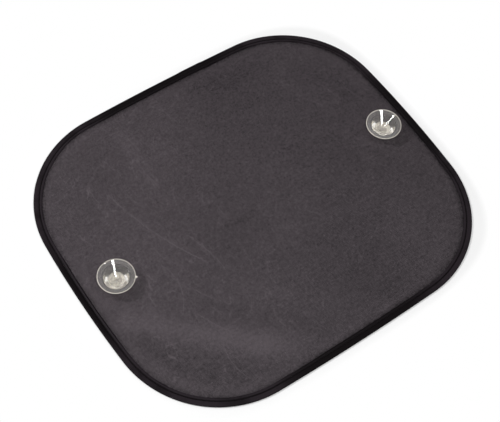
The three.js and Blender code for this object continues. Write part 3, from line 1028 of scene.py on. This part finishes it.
class TapeSettings(bpy.types.PropertyGroup):
    """Satin binding tape and its seam."""

    groove_depth: a_length(
        "Seam depth", "How deep the seam presses into the tape", 0.4, min=0, max=0.4)
    groove_width: a_length("Seam width", "Half width of the seam's groove", 0.8, min=0.2)
    puff_height: a_length(
        "Tape puff", "How far the tape swells on both sides of the seam", 0.35, min=0, max=1)
    gather_height: a_length(
        "Gather height", "Height of the gathers in the corners", 0.16, min=0, max=0.5)
    edge_wander: a_length(
        "Edge wander", "How far the cut edge of the tape wanders", 0.35, min=0, max=1)
    roll_ease: a_length("Roll ease", "Length over which the tape leaves the roll", 3.2, min=1)
    stitch_sag: a_length(
        "Stitch depth", "How far a stitch's ends go down into the tape", 0.5, min=0.1)
    rib_pitch: a_length("Rib pitch", "Distance between the ribs of the tape", 0.8, min=0.2)
    colour: a_colour("Tape colour", "Colour of the tape", (0.0028, 0.0018, 0.0023))
    # Lighter colour used for the painted sheen in the corners and the painted highlight along the
    # lip
    painted_sheen_colour: a_colour(
        "Worn tape colour", "Colour of the tape where it is rubbed", (0.018, 0.014, 0.017))


class CupSettings(bpy.types.PropertyGroup):
    """Suction cups."""

    colour: a_colour("Clear colour", "Tint of the clear PVC", (0.97, 0.955, 0.925))
    milk_colour: a_colour("Milky colour", "Colour of the haze in the PVC", (0.88, 0.83, 0.74))
    milk_share: a_share("Milkiness", "Share of the light that the haze scatters", 0.02)
    boss_milk_share: a_share("Boss milkiness", "The same in the thick boss in the middle", 0.7)
    rim_milk_share: a_share(
        "Rim milkiness", "The haze that the rubbed rim has more than the rest", 0.85)
    roughness: a_share("Roughness", "Roughness of the cup's surface", 0.02)


class StageSettings(bpy.types.PropertyGroup):
    """Floor, lamps and world."""

    floor_colour: a_colour("Floor colour", "Colour of the floor", (0.93, 0.93, 0.93))
    floor_glow: a_share(
        "Floor white", "Share of plain white that the camera sees in the floor", 0.2)
    lamp_strength: a_share(
        "Lamp strength", "Light of all lamps on a level floor, 1 for a white one", 0.78, 2.0)
    world_strength: a_share("World strength", "Strength of the pale surroundings", 0.33)


class SunshadeSettings(bpy.types.PropertyGroup):
    """All of the sunshade's settings."""

    cloth: PointerProperty(type=ClothSettings, name="Cloth", description="Mesh cloth")
    tape: PointerProperty(type=TapeSettings, name="Tape", description="Satin binding tape")
    cups: PointerProperty(type=CupSettings, name="Cups", description="Suction cups")
    stage: PointerProperty(type=StageSettings, name="Stage", description="Floor, lamps and world")


# Operators


class SUNSHADE_OT_cloth(bpy.types.Operator):
    """Make the mesh cloth"""

    bl_idname = "sunshade.cloth"
    bl_label = "Mesh cloth"

    def execute(self, context):
        settings = context.scene.sunshade.cloth
        cloth = build_cloth(settings, cloth_finish(settings))
        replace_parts(cloth, "mesh_panel")
        inset = 2 * (TAPE_REACH - CLOTH_TUCK)
        along, across = edge_points(np.arange(2000) * EDGE_LENGTH / 2000, inset / 2)
        area = 0.5 * abs(float(np.sum(along * np.roll(across, -1) - np.roll(along, -1) * across)))
        return {"FINISHED"}


class SUNSHADE_OT_tape(bpy.types.Operator):
    """Make the satin tape that binds the cloth's edge"""

    bl_idname = "sunshade.tape"
    bl_label = "Binding tape"

    def execute(self, context):
        settings = context.scene.sunshade.tape
        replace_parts(build_tape(settings, tape_finish(settings)), "edge_binding")
        return {"FINISHED"}


class SUNSHADE_OT_seam(bpy.types.Operator):
    """Make the stitches of the seam's upper and under thread"""

    bl_idname = "sunshade.seam"
    bl_label = "Seam stitches"

    def execute(self, context):
        sag = context.scene.sunshade.tape.stitch_sag
        thread = thread_finish()
        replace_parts(build_stitches("needle_stitches", 1, sag, thread), "needle_thread")
        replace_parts(build_stitches("bobbin_stitches", -1, sag, thread), "bobbin_thread")
        return {"FINISHED"}


class SUNSHADE_OT_cups(bpy.types.Operator):
    """Make the two clear suction cups"""

    bl_idname = "sunshade.cups"
    bl_label = "Suction cups"

    def execute(self, context):
        finish = cup_finish(context.scene.sunshade.cups)
        for side in CUP_CENTRES:
            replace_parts(build_cup(side, side == "left", finish), f"suction_cup_{side}")
        return {"FINISHED"}


class SUNSHADE_OT_hoop(bpy.types.Operator):
    """Give the spring wire and its sleeve their metal finishes"""

    bl_idname = "sunshade.hoop"
    bl_label = "Wire hoop"

    def execute(self, context):
        dress_node("spring_wire", steel_finish())
        dress_node("wire_sleeve", sleeve_finish())
        return {"FINISHED"}


class SUNSHADE_OT_stage(bpy.types.Operator):
    """Make the floor, the lamps, the world and the camera"""

    bl_idname = "sunshade.stage"
    bl_label = "Stage"

    def execute(self, context):
        settings = context.scene.sunshade.stage
        build_floor(settings)
        build_world(settings)
        build_lamps(settings)
        build_camera()
        context.scene.view_settings.view_transform = "Standard"
        return {"FINISHED"}


# Stage


def seen_directly(finish):
    """1 for rays from the camera and those that mirrors and glass send on, 0 for others."""
    rays = [
        finish.add("ShaderNodeLightPath", output=f"Is {kind} Ray")
        for kind in ("Camera", "Glossy", "Transmission")
    ]
    return (rays[0] + rays[1] + rays[2]).math("MINIMUM", 1.0)


def build_floor(settings):
    """A square of white paper. The camera sees plain white in its place away from the shade,
    and a share of white near it; away is the fourth root of the sum of the fourth powers of
    x and y over the shade's half length and half width."""
    half = 4.0
    mesh = bpy.data.meshes.new("floor")
    corners = [(-half, -half, 0), (half, -half, 0), (half, half, 0), (-half, half, 0)]
    mesh.from_pydata(corners, [], [(0, 1, 2, 3)])
    finish = Finish("White floor")
    paper = finish.principled(Base_Color=opaque(settings.floor_colour), Roughness=0.7)
    white = finish.add("ShaderNodeEmission", None, {"Color": WHITE, "Strength": 1.0})
    x, y, _ = finish.axes(finish.place())
    away = ((x / (SHADE_LENGTH / 2)) ** 4 + (y / (SHADE_WIDTH / 2)) ** 4) ** 0.25
    glow = settings.floor_glow + (1 - settings.floor_glow) * away.smooth(1.02, 1.06)
    share = seen_directly(finish) * glow
    mesh.materials.append(finish.done(finish.mix_shaders(share, paper, white)))
    new_object("floor", mesh)


def build_world(settings):
    """White surroundings that give less light than the camera sees in them."""
    finish = Finish("Pale surroundings", "worlds")
    strength = settings.world_strength + (1 - settings.world_strength) * seen_directly(finish)
    light = finish.add("ShaderNodeBackground", None, {"Color": WHITE, "Strength": strength})
    bpy.context.scene.world = finish.done(light, "ShaderNodeOutputWorld")


def put(item, place, axes):
    """Sets an object down at a place, with its own x, y and z along three directions."""
    item.matrix_world = Matrix.Translation(place) @ Matrix(axes).transposed().to_4x4()


# Place of each lamp, which faces the shade's middle, the direction of its longer side, its
# length and width, and its share of the light
LAMPS = {
    "main_lamp": ((-0.80, 0.58, 1.24), (0.0, 0.0, 1.0), (0.27, 0.27), 0.46),
    "left_streak_lamp": ((-0.342, -0.725, 1.432), (0.95, -0.31, -0.06), (0.30, 0.11), 0.16),
    "right_streak_lamp": ((0.230, -0.650, 1.476), (0.90, -0.38, -0.20), (0.33, 0.11), 0.16),
    "side_streak_lamp": ((-0.451, 0.324, 1.451), (0.06, -0.97, 0.24), (0.17, 0.11), 0.12),
}


def build_lamps(settings):
    """A lamp's power is its share of the floor's light, times pi squared, the square of its
    distance and the settings' brightness, over the sine of its height."""
    for name, (place, longer, (length, width), share) in LAMPS.items():
        place = Vector(place)
        data = bpy.data.lights.new(name, "AREA")
        data.shape = "ELLIPSE"
        data.size, data.size_y = length, width
        light = settings.lamp_strength * share * (math.pi * place.length) ** 2
        data.energy = light * place.length / place.z
        away = place.normalized()
        across = away.cross(Vector(longer)).normalized()
        put(new_object(name, data), place, (across.cross(away), across, away))


def build_camera():
    """The camera looks along its heading and down by its elevation, turned by its roll, at
    a target that lies the camera's distance ahead."""
    h, e, roll = CAMERA_HEADING, CAMERA_ELEVATION, CAMERA_ROLL
    level = Vector((math.sin(h), -math.cos(h), 0))
    raised = Vector((math.cos(h) * math.sin(e), math.sin(h) * math.sin(e), math.cos(e)))
    right = math.cos(roll) * level + math.sin(roll) * raised
    up = -math.sin(roll) * level + math.cos(roll) * raised
    ahead = Vector((math.cos(e) * math.cos(h), math.cos(e) * math.sin(h), -math.sin(e)))
    data = bpy.data.cameras.new("camera")
    data.sensor_width = SENSOR_WIDTH
    data.lens = CAMERA_LENS
    data.clip_start, data.clip_end = 0.01, 50.0
    camera = new_object("camera", data)
    put(camera, CAMERA_TARGET - ahead * CAMERA_DISTANCE, (right, up, -ahead))
    bpy.context.scene.camera = camera


# Sidebar and registration


OPERATORS = (
    SUNSHADE_OT_cloth,
    SUNSHADE_OT_tape,
    SUNSHADE_OT_seam,
    SUNSHADE_OT_cups,
    SUNSHADE_OT_hoop,
    SUNSHADE_OT_stage,
)


class SUNSHADE_PT_sidebar(bpy.types.Panel):
    """The sunshade's pieces and settings"""

    bl_label = "Sunshade"
    bl_space_type = "VIEW_3D"
    bl_region_type = "UI"
    bl_category = "Sunshade"

    def draw(self, context):
        for operator in OPERATORS:
            self.layout.operator(operator.bl_idname)
        for part in ("cloth", "tape", "cups", "stage"):
            settings = getattr(context.scene.sunshade, part)
            box = self.layout.box()
            box.label(text=part.capitalize())
            for name in type(settings).__annotations__:
                box.prop(settings, name)


CLASSES = (
    ClothSettings, TapeSettings, CupSettings, StageSettings, SunshadeSettings,
    *OPERATORS, SUNSHADE_PT_sidebar,
)


def register():
    for kind in CLASSES:
        bpy.utils.register_class(kind)
    bpy.types.Scene.sunshade = PointerProperty(type=SunshadeSettings)


def unregister():
    del bpy.types.Scene.sunshade
    for kind in reversed(CLASSES):
        bpy.utils.unregister_class(kind)


def main():
    register()
    for operator in OPERATORS:
        group, name = operator.bl_idname.split(".")
        if getattr(getattr(bpy.ops, group), name)() != {"FINISHED"}:
            raise RuntimeError(f"{operator.bl_label} was not made")


if __name__ == "__main__":
    main()
